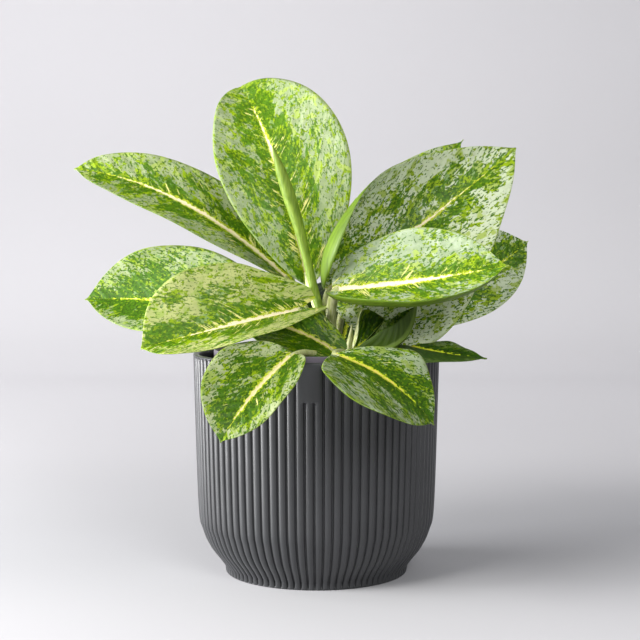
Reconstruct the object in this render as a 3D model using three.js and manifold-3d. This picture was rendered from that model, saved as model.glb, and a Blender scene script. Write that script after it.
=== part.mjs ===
// A potted Chinese evergreen (Aglaonema): a ribbed outer pot, a grow pot inside it,
// soil, two short stems and the leaves, each leaf one body of blade, midrib and stalk.
// Units are millimetres, +Z is up, and the origin is the middle of the pot's underside.
import * as THREE from 'three';
import { mergeVertices } from 'three/addons/utils/BufferGeometryUtils.js';
import Module from 'manifold-3d';

const wasm = await Module();
wasm.setup();

// ---------------------------------------------------------------- driving dimensions

const GAP = 0.3; // left between pieces that touch

// outer pot
const POT_HEIGHT = 125;
const POT_WALL = 3.2;
const POT_FLOOR = 5;
const RIB_COUNT = 86;
const RIB_DEPTH = 1.8;
const RIB_CREST = 0.6; // share of a rib's pitch that is flat crest
const RIM_BAND = 1; // plain ring above the ribs
const PLATE_RIBS = 3; // the smooth plate at the front takes the width of this many ribs
const PLATE_HEIGHT = 21;
const FRONT_TURN = -2.9; // degrees from -Y to the middle of the plate
// outer radius and height up the side, from the foot to the rim
const POT_PROFILE = [
  [51.4, 0],
  [52.2, 1.2],
  [52.3, 3.5],
  [55.6, 8.3],
  [61, 15.4],
  [65.2, 24.8],
  [67.7, 39],
  [69.7, POT_HEIGHT - PLATE_HEIGHT - 0.8],
  [69.7, POT_HEIGHT - PLATE_HEIGHT + 0.8],
  [70.2, POT_HEIGHT - RIM_BAND],
  [70.2, POT_HEIGHT],
];

// grow pot
const GROW_TOP = 127.5;
const GROW_RIM_RADIUS = 58.5;
const GROW_RIM_DROP = 9;
const GROW_NECK_RADIUS = 56.5;
const GROW_BASE_RADIUS = 43;
const GROW_WALL = 1.2;
const DRAIN_HOLES = 5;
const DRAIN_RADIUS = 3.5;
const DRAIN_RING = 26; // radius of the circle the holes stand on

// soil
const SOIL_TOP = 118;
const SOIL_RINGS = 4;
const SOIL_SIDES = 40; // as the grow pot's, so the facets lie parallel

// stems: foot and top of the axis, and the radius at each
const STEM_HOLE_DEPTH = 38;
const STEMS = {
  stem_main: { foot: [9, -5, SOIL_TOP - STEM_HOLE_DEPTH], top: [10, -5, 134], radius: [8, 6.5] },
  stem_side: { foot: [24, -20, SOIL_TOP - STEM_HOLE_DEPTH], top: [21, -18, 127], radius: [6.5, 5.5] },
};

// blades
const BLADE_THICKNESS = 0.8;
const BLADE_ROWS = 10;
const BLADE_ENDS = [0.012, 0.995]; // where along the blade its first and last sections stand
const STALK_SIDES = 6;
const STALK_STEPS = 6;

// Each leaf: the stem it grows from and the height of its root there, then three points of
// its midrib (base, middle, tip), the way its upper face looks (at the base, and at the tip
// where that differs), and its half widths. A pair holds [left, right] as seen on the upper
// face with the tip up.
//   fold   how far each half rises from the face, in degrees
//   curl   how much more it turns up on its way to the margin
//   cup    extra curl at the base, fading to none at the tip
//   wide   where along the leaf it is widest, 0 to 1
//   full   roundness of the outline towards the base, lower is rounder
//   sharp  the same towards the tip, 1 is a straight-sided point
//   lobe   how far the base runs back past the stalk
//   wave   height of the margin's wave, and how many there are
//   stalk  radius of the stalk
//   lift   how steeply the stalk leaves the stem
const LEAF_DEFAULTS = {
  fold: [8, 8],
  curl: [10, 10],
  cup: [0, 0],
  wide: 0.5,
  full: 0.6,
  sharp: 0.9,
  lobe: 0,
  wave: 0.8,
  waves: 2.5,
  stalk: 2.2,
  lift: 0.9,
};
const LEAVES = {
  leaf_upright: {
    stem: 'stem_main', root: 134,
    base: [-4, 6, 163], middle: [-23, 8, 233], tip: [-46, 54, 282],
    face: [0, -1, 0.15], faceTip: [-0.1, -1, 0.5], half: [34, 43],
    fold: [4, 4], curl: [12, 12], wide: 0.51, full: 0.7, sharp: 0.48, stalk: 2.6,
  },
  leaf_upper_left: {
    stem: 'stem_main', root: 127, lift: 0.5,
    base: [-12, 25, 162], middle: [-78, 31, 211], tip: [-145, 40, 232],
    face: [-0.1, -0.55, 0.8], faceTip: [0.1, -1, 0.4], half: [22, 24],
    fold: [14, 6], curl: [12, 12], wide: 0.47, full: 0.85, sharp: 0.56,
  },
  leaf_rear_left: {
    stem: 'stem_main', root: 122, lift: 0.4,
    base: [-25, 22, 149], middle: [-85, 46, 153], tip: [-143, 62, 153],
    face: [0, -0.9, 0.45], half: [27, 34],
    fold: [14, 14], wide: 0.52, full: 0.53, sharp: 0.84,
  },
  leaf_front_left: {
    stem: 'stem_main', root: 127,
    base: [-7, -18, 151], middle: [-44, -47, 144], tip: [-93, -61, 132],
    face: [0, -0.8, 0.6], half: [24, 36],
    fold: [30, 20], curl: [5, 5], wide: 0.57, full: 0.38, sharp: 0.4, lobe: 1,
  },
  leaf_front_right: {
    stem: 'stem_main', root: 128,
    base: [8, -16, 162], middle: [54, -34, 167], tip: [104, -46, 176],
    face: [-0.4, -0.8, 0.45], faceTip: [-0.2, -0.95, 0.2], half: [29, 40],
    fold: [8, 10], curl: [10, 85], cup: [0, 10], wide: 0.5, full: 0.44, sharp: 0.88, stalk: 3,
  },
  leaf_upper_right: {
    stem: 'stem_main', root: 130,
    base: [5, 6, 160], middle: [50, 10, 190], tip: [118, 30, 244],
    face: [-0.18, -1, 0.22], half: [60, 63],
    fold: [2, 6], curl: [25, 10], cup: [162, 0], wide: 0.34, full: 0.95, sharp: 0.75,
  },
  leaf_rear_right: {
    stem: 'stem_main', root: 124,
    base: [49, 24, 134], middle: [93, 44, 162], tip: [130, 60, 189],
    face: [0.2, -1, 0.25], half: [33, 21],
    wide: 0.56, full: 0.8, sharp: 1,
  },
  leaf_back_low: {
    stem: 'stem_main', root: 121, lift: 0.2,
    base: [15, 18, 129], middle: [22, 46, 149], tip: [30, 86, 163],
    face: [0, -0.5, 1], half: [31, 29],
  },
  leaf_back_right: {
    stem: 'stem_main', root: 126, lift: 0.6,
    base: [17, 26, 161], middle: [55, 44, 210], tip: [90, 62, 251],
    face: [-0.3, -1, 0.2], half: [26, 26],
    wide: 0.36, full: 0.55, sharp: 1.1,
  },
  leaf_low_left: {
    stem: 'stem_main', root: 121, lift: 0.2,
    base: [-12, -66, 130], middle: [-32, -90, 111], tip: [-48, -104, 88],
    face: [-0.1, -0.6, 0.8], faceTip: [-0.1, -1, 0.2], half: [18, 28],
    fold: [10, 10], wide: 0.42, full: 0.4, sharp: 0.8, stalk: 1.8,
  },
  leaf_low_centre: {
    stem: 'stem_side', root: 122, lift: 0.4,
    base: [9, -27, 128.5], middle: [-13, -24, 139.5], tip: [-44, -16, 146],
    face: [0.1, -0.45, 0.9], half: [27, 15],
    fold: [0, 40], wide: 0.45, full: 0.35, sharp: 0.73, lobe: 0.6, stalk: 1.8,
  },
  leaf_low_right: {
    stem: 'stem_side', root: 120.5, lift: 0.6,
    base: [9, -70, 130], middle: [37, -92, 118], tip: [60, -96, 96],
    face: [-0.1, -0.3, 1], faceTip: [0.65, -0.65, 0.4], half: [25, 44],
    fold: [10, 10], wide: 0.48, full: 1, sharp: 1, stalk: 1.8,
  },
  leaf_small_cupped: {
    stem: 'stem_side', root: 124, lift: 0.5,
    base: [12, -33, 127.5], middle: [24, -28, 131], tip: [38, -18, 146],
    face: [-0.1, -0.6, 0.8], half: [15, 7],
    fold: [35, 40], curl: [60, 30], wide: 0.82, full: 1.1, sharp: 0.6, wave: 0.3, stalk: 1.6,
  },
  leaf_cupped: {
    stem: 'stem_side', root: 124, lift: 0.3,
    base: [22, -30, 128], middle: [46, -27, 133], tip: [56, -15, 153],
    face: [-0.4, -0.1, 0.9], half: [20, 11],
    fold: [20, 80], curl: [30, 16], wide: 0.43, full: 0.65, sharp: 0.6, wave: 0.3,
  },
  leaf_right_rim: {
    stem: 'stem_side', root: 119, lift: 0.2,
    base: [44, -8, 132], middle: [68, -35, 128], tip: [92, -49, 126],
    face: [0, -0.4, 1], half: [10, 32],
    wide: 0.45, full: 0.4, sharp: 1.5, stalk: 1.8,
  },
};

// the rolled new leaf: radius of the roll at points along it, from its root to its tip
const SPEAR = {
  points: [[7, -7, 133], [-1.5, -5, 163], [-10.5, -8, 199], [-24.5, -12, 242]],
  radii: [2.5, 2.4, 2.4, 2.4, 2.6, 3.3, 3.7, 2.9, 0.4],
};

// pale pointed sheaths among the stalks: foot, bend and tip, with their radii
const SHEATHS = {
  sheath_point: { points: [[22, -17, 124], [24, -13, 138], [26, -10, 151]], radii: [3, 2.8, 2.4, 1.6, 0.3] },
  sheath_bud: { points: [[18, -16, 124], [19, -14, 133], [20, -14, 142]], radii: [1.6, 1.9, 1.7, 1, 0.3] },
};

// ---------------------------------------------------------------- solids from meshes

// a closed mesh as a manifold-3d solid
function solidOf(geometry) {
  const bare = geometry.index ? geometry.clone() : geometry;
  bare.deleteAttribute('normal');
  bare.deleteAttribute('uv');
  const merged = mergeVertices(bare, 1e-4);
  return new wasm.Manifold(new wasm.Mesh({
    numProp: 3,
    vertProperties: Float32Array.from(merged.attributes.position.array),
    triVerts: Uint32Array.from(merged.index.array),
  }));
}

// a solid's surface as a three.js geometry
function geometryOf(solid) {
  const mesh = solid.getMesh();
  const geometry = new THREE.BufferGeometry();
  geometry.setAttribute('position', new THREE.BufferAttribute(mesh.vertProperties, 3));
  geometry.setIndex(new THREE.BufferAttribute(mesh.triVerts, 1));
  geometry.computeVertexNormals();
  return geometry;
}

// ---------------------------------------------------------------- lofts

// A closed skin through rings of points. A ring has an even number of points that run
// round it; both ends are closed by strips across the ring. The second half of a ring
// has its squares cut the other way, so the two faces of a thin blade match.
function loft(rings) {
  const count = rings[0].length;
  const half = count / 2;
  const triangles = [];
  const at = (ring, k) => ring * count + (k % count);
  for (let i = 0; i + 1 < rings.length; i++) {
    for (let k = 0; k < count; k++) {
      const [a, b, c, d] = [at(i, k), at(i, k + 1), at(i + 1, k + 1), at(i + 1, k)];
      if (k < half) triangles.push(a, b, c, a, c, d);
      else triangles.push(a, b, d, b, c, d);
    }
  }
  const last = rings.length - 1;
  for (let k = 0; k + 1 < half; k++) {
    const other = count - 1 - k;
    triangles.push(at(0, k), at(0, other), at(0, other - 1));
    triangles.push(at(0, k), at(0, other - 1), at(0, k + 1));
    triangles.push(at(last, k), at(last, other - 1), at(last, other));
    triangles.push(at(last, k), at(last, k + 1), at(last, other - 1));
  }
  const geometry = new THREE.BufferGeometry();
  const flat = rings.flat().flatMap((point) => point.toArray());
  geometry.setAttribute('position', new THREE.Float32BufferAttribute(flat, 3));
  geometry.setIndex(triangles);
  return geometry;
}

// a rod along a curve whose radius follows a list; roll winds the section into a scroll
function rod(curve, radii, { sides = STALK_SIDES, steps = STALK_STEPS, grow = 0, roll = 0 } = {}) {
  const frames = curve.computeFrenetFrames(steps, false);
  const rings = [];
  for (let i = 0; i <= steps; i++) {
    const t = i / steps;
    const place = t * (radii.length - 1);
    const k = Math.min(Math.floor(place), radii.length - 2);
    const radius = THREE.MathUtils.lerp(radii[k], radii[k + 1], place - k) + grow;
    const centre = curve.getPointAt(t);
    const ring = [];
    for (let j = 0; j < sides; j++) {
      const angle = (2 * Math.PI * j) / sides;
      const reach = radius * (1 + roll * (j / sides - 0.5));
      const point = centre.clone();
      point.addScaledVector(frames.normals[i], reach * Math.cos(angle));
      point.addScaledVector(frames.binormals[i], reach * Math.sin(angle));
      ring.push(point);
    }
    rings.push(ring);
  }
  return solidOf(loft(rings));
}

// ---------------------------------------------------------------- leaves

const vector = (list) => new THREE.Vector3(...list);

// share of the full half width at t, the way along the blade
function outline(leaf, t) {
  const power = Math.log(0.5) / Math.log(leaf.wide);
  const roundness = THREE.MathUtils.lerp(leaf.full, leaf.sharp, t ** 3);
  return Math.max(Math.sin(Math.PI * t ** power), 0) ** roundness;
}

// place, direction, face and left side of the midrib at t
function midrib(leaf, t) {
  const base = vector(leaf.base);
  const tip = vector(leaf.tip);
  const control = vector(leaf.middle).multiplyScalar(2).addScaledVector(base, -0.5).addScaledVector(tip, -0.5);
  const place = base.clone().multiplyScalar((1 - t) ** 2);
  place.addScaledVector(control, 2 * t * (1 - t)).addScaledVector(tip, t * t);
  const along = control.clone().sub(base).multiplyScalar(1 - t);
  along.addScaledVector(tip.clone().sub(control), t).normalize();
  const face = vector(leaf.face).normalize().multiplyScalar(1 - t);
  face.addScaledVector(vector(leaf.faceTip ?? leaf.face).normalize(), t);
  face.addScaledVector(along, -face.dot(along)).normalize();
  const left = new THREE.Vector3().crossVectors(face, along);
  return { place, along, face, left };
}

// a point of the blade's middle surface: u runs from 1 at the left margin to -1 at the right
function bladePoint(leaf, t, u) {
  const { place, along, face, left } = midrib(leaf, t);
  const side = u >= 0 ? 0 : 1;
  const share = outline(leaf, t);
  const reach = leaf.half[side] * share;
  const from = THREE.MathUtils.degToRad(leaf.fold[side]);
  const turn = THREE.MathUtils.degToRad(leaf.curl[side] + leaf.cup[side] * (1 - t));
  const out = Math.abs(u);
  const across = (reach * (Math.sin(from + turn * out) - Math.sin(from))) / turn;
  const rise = (reach * (Math.cos(from) - Math.cos(from + turn * out))) / turn;
  const length = vector(leaf.base).distanceTo(vector(leaf.tip));
  const back = 0.2 * leaf.lobe * length * Math.max(1 - t / 0.3, 0) ** 2 * out ** 1.5;
  const phase = 2 * Math.PI * (leaf.waves * t + 0.4 * side);
  const wave = leaf.wave * Math.sin(phase) * out ** 2 * Math.sqrt(share);
  place.addScaledVector(left, Math.sign(u) * across);
  place.addScaledVector(face, rise + wave);
  return place.addScaledVector(along, -back);
}

// the blade: a thin sheet on the middle surface, thickened underneath into the midrib
function blade(leaf, grow) {
  const rings = [];
  for (let i = 0; i < BLADE_ROWS; i++) {
    const t = THREE.MathUtils.lerp(...BLADE_ENDS, (1 - Math.cos((Math.PI * i) / (BLADE_ROWS - 1))) / 2);
    const upper = [];
    const lower = [];
    const ribRadius = THREE.MathUtils.lerp(leaf.stalk * 0.9, 0.4, Math.sqrt(t));
    for (const column of [1, 0.62, 0.3, 0, -0.3, -0.62, -1]) {
      const reach = leaf.half[column >= 0 ? 0 : 1] * outline(leaf, t);
      const nearRib = Math.min(0.3, (ribRadius + 1) / reach);
      const u = Math.abs(column) === 0.3 ? Math.sign(column) * nearRib : column;
      const slopeT = bladePoint(leaf, t + 0.004, u).sub(bladePoint(leaf, t - 0.004, u));
      const slopeU = bladePoint(leaf, t, Math.min(u + 0.02, 1)).sub(bladePoint(leaf, t, Math.max(u - 0.02, -1)));
      const normal = new THREE.Vector3().crossVectors(slopeT, slopeU).normalize();
      const point = bladePoint(leaf, t, u);
      if (Math.abs(column) === 1) point.addScaledVector(slopeU.normalize(), Math.sign(column) * grow);
      const rib = column === 0 ? ribRadius * 1.5 : 0;
      upper.push(point.clone().addScaledVector(normal, BLADE_THICKNESS / 2 + grow - rib * 0.2));
      lower.unshift(point.clone().addScaledVector(normal, -BLADE_THICKNESS / 2 - grow - rib));
    }
    rings.push([...upper, ...lower]);
  }
  return solidOf(loft(rings));
}

// where a stem's axis is at a height
function stemAxis(stem, z) {
  const foot = vector(stem.foot);
  const top = vector(stem.top);
  return foot.lerp(top, (z - foot.z) / (top.z - foot.z));
}

// the stalk: it leaves the stem upwards and outwards and runs on into the midrib
function stalk(leaf, grow) {
  const root = stemAxis(STEMS[leaf.stem], leaf.root);
  const base = vector(leaf.base);
  const { along, face } = midrib(leaf, 0);
  const outward = base.clone().sub(root).setZ(0).normalize();
  const reach = base.distanceTo(root);
  const start = root.clone().addScaledVector(outward, STEMS[leaf.stem].radius[1] - 2.5);
  const rise = start.clone().addScaledVector(outward, 0.35 * (1 - 0.6 * leaf.lift) * reach);
  rise.z += 0.35 * leaf.lift * reach;
  const end = midrib(leaf, 0.05).place.addScaledVector(face, -0.6 * leaf.stalk);
  const approach = end.clone().addScaledVector(along, -0.2 * reach);
  const curve = new THREE.CubicBezierCurve3(start, rise, approach, end);
  return rod(curve, [leaf.stalk * 1.15, leaf.stalk, leaf.stalk, leaf.stalk * 0.85], { grow });
}

function leafSolid(leaf, grow = 0) {
  return blade(leaf, grow).add(stalk(leaf, grow));
}

// ---------------------------------------------------------------- the other plant pieces

function stemSolid(stem, grow = 0) {
  const axis = new THREE.LineCurve3(vector(stem.foot), vector(stem.top));
  const [low, high] = stem.radius;
  return rod(axis, [low, low, low, high, high, high * 0.6], { sides: 12, steps: 5, grow });
}

function spearSolid(grow = 0) {
  const curve = new THREE.CatmullRomCurve3(SPEAR.points.map(vector));
  return rod(curve, SPEAR.radii, { sides: 10, steps: 10, grow, roll: 0.22 });
}

function sheathSolid(sheath, grow = 0) {
  const curve = new THREE.CatmullRomCurve3(sheath.points.map(vector));
  return rod(curve, sheath.radii, { sides: 8, steps: 6, grow });
}

// ---------------------------------------------------------------- pots and soil

// a solid of revolution from [radius, height] pairs that start and end on the axis
function turned(profile, sides) {
  const points = profile.map(([radius, z]) => new THREE.Vector2(radius, z));
  const geometry = new THREE.LatheGeometry(points, sides);
  geometry.rotateX(Math.PI / 2);
  return solidOf(geometry);
}

// radius of the outer pot's crests at a height
function potRadius(z) {
  let k = 0;
  while (k < POT_PROFILE.length - 2 && POT_PROFILE[k + 1][1] < z) k++;
  const [[r0, z0], [r1, z1]] = [POT_PROFILE[k], POT_PROFILE[k + 1]];
  return THREE.MathUtils.mapLinear(z, z0, z1, r0, r1);
}

// the ribbed outside: each rib is a flat crest between two narrow grooves
function ribbedBody() {
  const pitch = (2 * Math.PI) / RIB_COUNT;
  const front = THREE.MathUtils.degToRad(FRONT_TURN - 90);
  const plateTop = POT_HEIGHT - PLATE_HEIGHT;
  const rings = POT_PROFILE.map(([radius, z]) => {
    const ring = [];
    for (let rib = 0; rib < RIB_COUNT; rib++) {
      // the groove to the left of each rib, counted from the middle of the plate
      const offset = rib < RIB_COUNT / 2 ? rib : rib - RIB_COUNT;
      const underPlate = Math.abs(offset - 0.5) < PLATE_RIBS / 2 - 0.5;
      const grooved = z < POT_HEIGHT - RIM_BAND - 0.5 && !(underPlate && z > plateTop);
      const depth = grooved ? RIB_DEPTH : 0;
      const angle = front + (rib - 0.5) * pitch;
      const crest = (RIB_CREST * pitch) / 2;
      const spots = [[angle, radius - depth], [angle + pitch / 2 - crest, radius], [angle + pitch / 2 + crest, radius]];
      for (const [turn, reach] of spots) {
        ring.push(new THREE.Vector3(reach * Math.cos(turn), reach * Math.sin(turn), z));
      }
    }
    return ring;
  });
  return solidOf(loft(rings));
}

function outerPot() {
  const cavity = [[0, POT_FLOOR], [44, POT_FLOOR]];
  for (const z of [POT_FLOOR + 3, 15, 25, 39, 62]) cavity.push([potRadius(z) - POT_WALL - 3 * Math.exp(-z / 12), z]);
  const mouth = potRadius(POT_HEIGHT) - POT_WALL;
  cavity.push([mouth, POT_HEIGHT - 2], [mouth + 0.4, POT_HEIGHT + 1], [0, POT_HEIGHT + 1]);
  return ribbedBody().subtract(turned(cavity, 60));
}

const growFloor = POT_FLOOR + GAP;
const growNeck = GROW_TOP - GROW_RIM_DROP;

// the grow pot's outside radius below its rim
function growRadius(z) {
  return THREE.MathUtils.mapLinear(z, growFloor, growNeck, GROW_BASE_RADIUS, GROW_NECK_RADIUS);
}

function growPot() {
  const inside = growFloor + GROW_WALL;
  const shell = turned([
    [0, growFloor],
    [GROW_BASE_RADIUS, growFloor],
    [GROW_NECK_RADIUS, growNeck],
    [GROW_RIM_RADIUS, growNeck],
    [GROW_RIM_RADIUS, GROW_TOP],
    [GROW_RIM_RADIUS - GROW_WALL, GROW_TOP],
    [growRadius(growNeck) - GROW_WALL, growNeck + 1.5],
    [growRadius(inside) - GROW_WALL, inside],
    [0, inside],
  ], SOIL_SIDES);
  let pot = shell;
  for (let hole = 0; hole < DRAIN_HOLES; hole++) {
    const drain = new THREE.CylinderGeometry(DRAIN_RADIUS, DRAIN_RADIUS, 6, 10);
    const angle = (2 * Math.PI * hole) / DRAIN_HOLES;
    drain.rotateX(Math.PI / 2);
    drain.translate(DRAIN_RING * Math.cos(angle), DRAIN_RING * Math.sin(angle), inside);
    pot = pot.subtract(solidOf(drain));
  }
  return pot;
}

// height of the soil's crumbly top above its level
function soilBump(x, y) {
  const coarse = Math.sin(x * 0.31 + 1.3 * Math.sin(y * 0.17)) * Math.cos(y * 0.27 - 0.4);
  const fine = Math.sin(x * 0.9 + y * 0.7) * Math.sin(y * 1.1 - x * 0.4);
  return 0.8 * coarse + 0.4 * fine;
}

function soilSolid() {
  const low = growFloor + GROW_WALL + GAP;
  const lowRadius = growRadius(low) - GROW_WALL - GAP;
  const topRadius = growRadius(SOIL_TOP) - GROW_WALL - GAP;
  const profile = [[0, low], [lowRadius, low], [topRadius, SOIL_TOP]];
  for (let ring = SOIL_RINGS - 1; ring >= 0; ring--) profile.push([(topRadius * ring) / SOIL_RINGS, SOIL_TOP]);
  const points = profile.map(([radius, z]) => new THREE.Vector2(radius, z));
  const geometry = new THREE.LatheGeometry(points, SOIL_SIDES);
  geometry.rotateX(Math.PI / 2);
  const place = geometry.attributes.position;
  for (let i = 0; i < place.count; i++) {
    const [x, y, z] = [place.getX(i), place.getY(i), place.getZ(i)];
    if (z > SOIL_TOP - 1 && Math.hypot(x, y) < topRadius - 1) place.setZ(i, z + soilBump(x, y));
  }
  let soil = solidOf(geometry);
  for (const stem of Object.values(STEMS)) soil = soil.subtract(stemSolid(stem, GAP));
  return soil;
}

// ---------------------------------------------------------------- the object

const greens = { upper: 0x9dbb7a, lower: 0x7c9f3c };
const plastic = new THREE.MeshStandardMaterial({ color: 0x4a4b4d, roughness: 0.6, metalness: 0 });
const growPlastic = new THREE.MeshStandardMaterial({ color: 0x3d3a3f, roughness: 0.6, metalness: 0 });
const earth = new THREE.MeshStandardMaterial({ color: 0x2c211a, roughness: 1, metalness: 0 });
const leafSkin = new THREE.MeshStandardMaterial({ color: greens.upper, roughness: 0.4, metalness: 0 });
const youngSkin = new THREE.MeshStandardMaterial({ color: greens.lower, roughness: 0.4, metalness: 0 });
const stalkSkin = new THREE.MeshStandardMaterial({ color: 0xc3c68c, roughness: 0.5, metalness: 0 });

const object = new THREE.Group();

function addNode(name, solid, material) {
  const mesh = new THREE.Mesh(geometryOf(solid), material);
  mesh.name = name;
  object.add(mesh);
}

addNode('outer_pot', outerPot(), plastic);
addNode('grow_pot', growPot(), growPlastic);
addNode('soil', soilSolid(), earth);
for (const [name, stem] of Object.entries(STEMS)) addNode(name, stemSolid(stem), stalkSkin);

// Every later piece gives way by the gap to the pieces before it where their roots meet,
// and a loose scrap that this cuts off is dropped.
const standing = Object.values(STEMS).map((stem) => stemSolid(stem, GAP));

function addGrown(name, build, material) {
  let solid = build(0);
  for (const other of standing) solid = solid.subtract(other);
  const pieces = solid.decompose().sort((a, b) => b.volume() - a.volume());
  addNode(name, pieces[0], material);
  standing.push(build(GAP));
}

addGrown('leaf_spear', spearSolid, youngSkin);
for (const [name, sheath] of Object.entries(SHEATHS)) addGrown(name, (grow) => sheathSolid(sheath, grow), stalkSkin);
for (const [name, own] of Object.entries(LEAVES)) {
  const leaf = { ...LEAF_DEFAULTS, ...own };
  addGrown(name, (grow) => leafSolid(leaf, grow), leafSkin);
}

export default object;
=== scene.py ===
import math

import bpy
import numpy as np
from mathutils import Matrix, Vector


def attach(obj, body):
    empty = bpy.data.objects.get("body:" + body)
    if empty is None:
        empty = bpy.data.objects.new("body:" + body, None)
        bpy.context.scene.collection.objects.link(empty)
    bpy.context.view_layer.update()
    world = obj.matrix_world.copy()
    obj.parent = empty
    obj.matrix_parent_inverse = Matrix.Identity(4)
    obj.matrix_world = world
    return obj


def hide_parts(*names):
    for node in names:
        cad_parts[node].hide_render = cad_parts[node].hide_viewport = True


# A potted Chinese evergreen: a ribbed plastic cover pot, a thin grow pot, potting soil,
# two short stems and the leaves. Tables are in millimetres, Blender's meshes in metres.

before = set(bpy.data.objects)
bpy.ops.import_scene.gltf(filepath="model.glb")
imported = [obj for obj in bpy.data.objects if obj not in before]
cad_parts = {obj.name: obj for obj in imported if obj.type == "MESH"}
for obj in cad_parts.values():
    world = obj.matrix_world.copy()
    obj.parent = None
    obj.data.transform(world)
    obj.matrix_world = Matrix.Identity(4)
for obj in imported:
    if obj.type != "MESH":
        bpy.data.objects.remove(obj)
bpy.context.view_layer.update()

MM = 0.001
BODY = "root"

# ---------------- sizes

# cover pot, as in the solid: crest radius and height from the foot to the rim
POT_HEIGHT = 125
POT_WALL = 3.2
POT_FLOOR = 5
RIB_COUNT = 86
RIB_DEPTH = 1.8
RIB_CROWN = 0.8  # how far a rib's shoulders lie under the middle of its crest
RIB_SHOULDER = 0.405  # share of the pitch from a crest's middle to its shoulder
GROOVE_EDGE = (0.36, 0.43)  # the same share where the groove's side starts and ends
RIM_BAND = 1
RIM_ROUND = 0.45
RIM_CUT = 0.13  # how far the middle of that rounding lies in from the corner
PLATE_RIBS = 3  # the smooth plate at the front takes the width of this many ribs
PLATE_HEIGHT = 21
FRONT_TURN = -2.9  # degrees from straight ahead to the middle of the plate
POT_PROFILE = [
    (52.2, 1.2),
    (52.3, 3.5),
    (55.6, 8.3),
    (61, 15.4),
    (65.2, 24.8),
    (67.7, 39),
    (69.7, POT_HEIGHT - PLATE_HEIGHT),
    (70.2, POT_HEIGHT - RIM_BAND),
]
# underside with its standing ring, and the floor inside
POT_FOOT = [(0, 0.6), (46, 0.6), (47.5, 0), (51.3, 0), (51.9, 0.4)]
POT_INSIDE = [(46, POT_FLOOR + 0.6), (43, POT_FLOOR), (0, POT_FLOOR)]

# grow pot
GROW_TOP = 127.5
GROW_RIM_RADIUS = 58.5
GROW_RIM_DROP = 9
GROW_NECK_RADIUS = 56.5
GROW_BASE_RADIUS = 43
GROW_WALL = 1.2
GROW_FLOOR = POT_FLOOR + 0.3
DRAIN_RADIUS = 3.5
DRAIN_HOLES = 5
DRAIN_RING = 26  # radius of the circle the holes stand on

# soil
SOIL_TOP = 118
SOIL_GAP = 0.4  # to the grow pot's wall and floor
SOIL_CRUMBS = 900
CRUMB_RADII = (0.5, 1.7)

# stems: foot and top of the axis, and the radius at each
STEMS = {
    "stem_main": {"foot": (9, -5, 80), "top": (10, -5, 134), "radius": (8, 6.5)},
    "stem_side": {"foot": (24, -20, 80), "top": (21, -18, 127), "radius": (6.5, 5.5)},
}

# the rolled new leaf and the pale sheaths, each along a smooth line
SPEAR = {
    "points": [(7, -7, 133), (-1.5, -5, 163), (-10.5, -8, 199), (-24.5, -12, 242)],
    "radii": (2.5, 2.4, 2.4, 2.4, 2.6, 3.3, 3.7, 2.9, 0.4),
    "roll": 0.22,
}
SHEATHS = {
    "sheath_point": {
        "points": [(22, -17, 124), (24, -13, 138), (26, -10, 151)],
        "radii": (3, 2.8, 2.4, 1.6, 0.3),
    },
    "sheath_bud": {
        "points": [(18, -16, 124), (19, -14, 133), (20, -14, 142)],
        "radii": (1.6, 1.9, 1.7, 1, 0.3),
    },
}

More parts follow.
